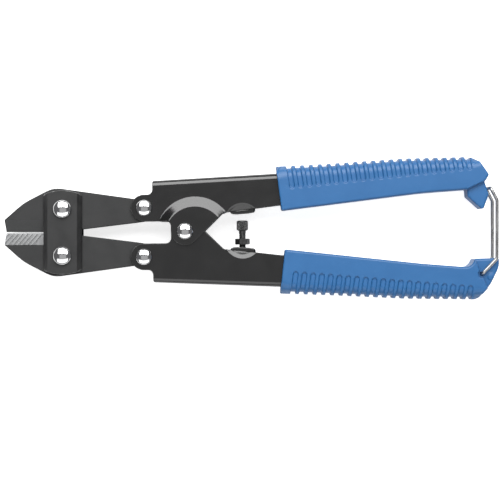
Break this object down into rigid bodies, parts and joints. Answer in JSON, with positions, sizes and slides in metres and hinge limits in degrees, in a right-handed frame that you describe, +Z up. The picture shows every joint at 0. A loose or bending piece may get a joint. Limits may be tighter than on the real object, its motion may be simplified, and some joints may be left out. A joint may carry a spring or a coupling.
{
  "type": "bolt cutters",
  "caption": "Compact compound-lever bolt cutters with pressed channel handles, moulded grips, a stop screw and a wire latch, shown closed and latched.",
  "frame": {"origin": "middle of the underside of the closed tool as it lies flat", "axes": "+X from the jaws towards the grips, +Y towards the upper handle, +Z up, along every pivot"},
  "size_m": [0.2098, 0.0606, 0.0188],
  "materials": {
    "jaw_steel": "forged and blackened, semi-matt, with ground cutting edges",
    "strap_steel": "blackened steel plate, semi-matt",
    "rivet_chrome": "polished nickel-chrome plating",
    "handle_steel": "black powder coat, semi-gloss",
    "bush_steel": "turned steel",
    "spring_steel": "drawn spring wire",
    "grip_plastic": "moulded plastic, satin",
    "screw_steel": "blackened, knurled head",
    "nut_steel": "blackened",
    "bail_wire": "bright plated spring wire"
  },
  "bodies": {
    "lower_handle": {"lower_handle": "handle_steel", "lower_grip": "grip_plastic", "lower_link_rivet": "rivet_chrome", "pivot_rivet": "rivet_chrome", "pivot_bush": "bush_steel", "handle_spring": "spring_steel"},
    "upper_handle": {"upper_handle": "handle_steel", "upper_grip": "grip_plastic", "upper_link_rivet": "rivet_chrome"},
    "lower_jaw": {"lower_jaw": "jaw_steel"},
    "strap": {"front_strap": "strap_steel", "rear_strap": "strap_steel", "upper_jaw_rivet": "rivet_chrome", "lower_jaw_rivet": "rivet_chrome"},
    "upper_jaw": {"upper_jaw": "jaw_steel"},
    "latch_bail": {"latch_bail": "bail_wire"},
    "stop_screw": {"stop_screw": "screw_steel"},
    "lock_nut": {"lock_nut": "nut_steel"}
  },
  "joints": [
    {"name": "handles_open", "type": "hinge", "parent": "lower_handle", "child": "upper_handle", "pos_m": [-0.02816, -0.00125, 0.0094], "axis": [0, 0, 1], "range_deg": [0, 27], "deforming": ["handle_spring"]},
    {"name": "lower_jaw_swing", "type": "hinge", "parent": "lower_handle", "child": "lower_jaw", "pos_m": [-0.04556, -0.01209, 0.0094], "axis": [0, 0, 1], "range_deg": [-0.5, 20.5]},
    {"name": "strap_swing", "type": "hinge", "parent": "lower_jaw", "child": "strap", "pos_m": [-0.08011, -0.01165, 0.0094], "axis": [0, 0, 1], "range_deg": [-7.5, 0.5]},
    {"name": "upper_jaw_swing", "type": "hinge", "parent": "strap", "child": "upper_jaw", "pos_m": [-0.08011, 0.00816, 0.0094], "axis": [0, 0, 1], "range_deg": [-7.5, 0.5]},
    {"name": "latch_swing", "type": "hinge", "parent": "lower_handle", "child": "latch_bail", "pos_m": [0.09762, -0.01921, 0.0094], "axis": [0, 0, 1], "range_deg": [-100, 0]},
    {"name": "stop_screw_travel", "type": "slide", "parent": "lower_handle", "child": "stop_screw", "axis": [-0.0122, 0.9999, 0], "range_m": [-0.0025, 0.0024]},
    {"name": "lock_nut_travel", "type": "slide", "parent": "lower_handle", "child": "lock_nut", "axis": [-0.0122, 0.9999, 0], "range_m": [-0.0008, 0]}
  ],
  "couplings": [
    {"joint": "lower_jaw_swing", "follows": "handles_open", "ratio": 0.7292},
    {"joint": "strap_swing", "follows": "handles_open", "ratio": -0.265},
    {"joint": "upper_jaw_swing", "follows": "handles_open", "ratio": -0.265}
  ]
}
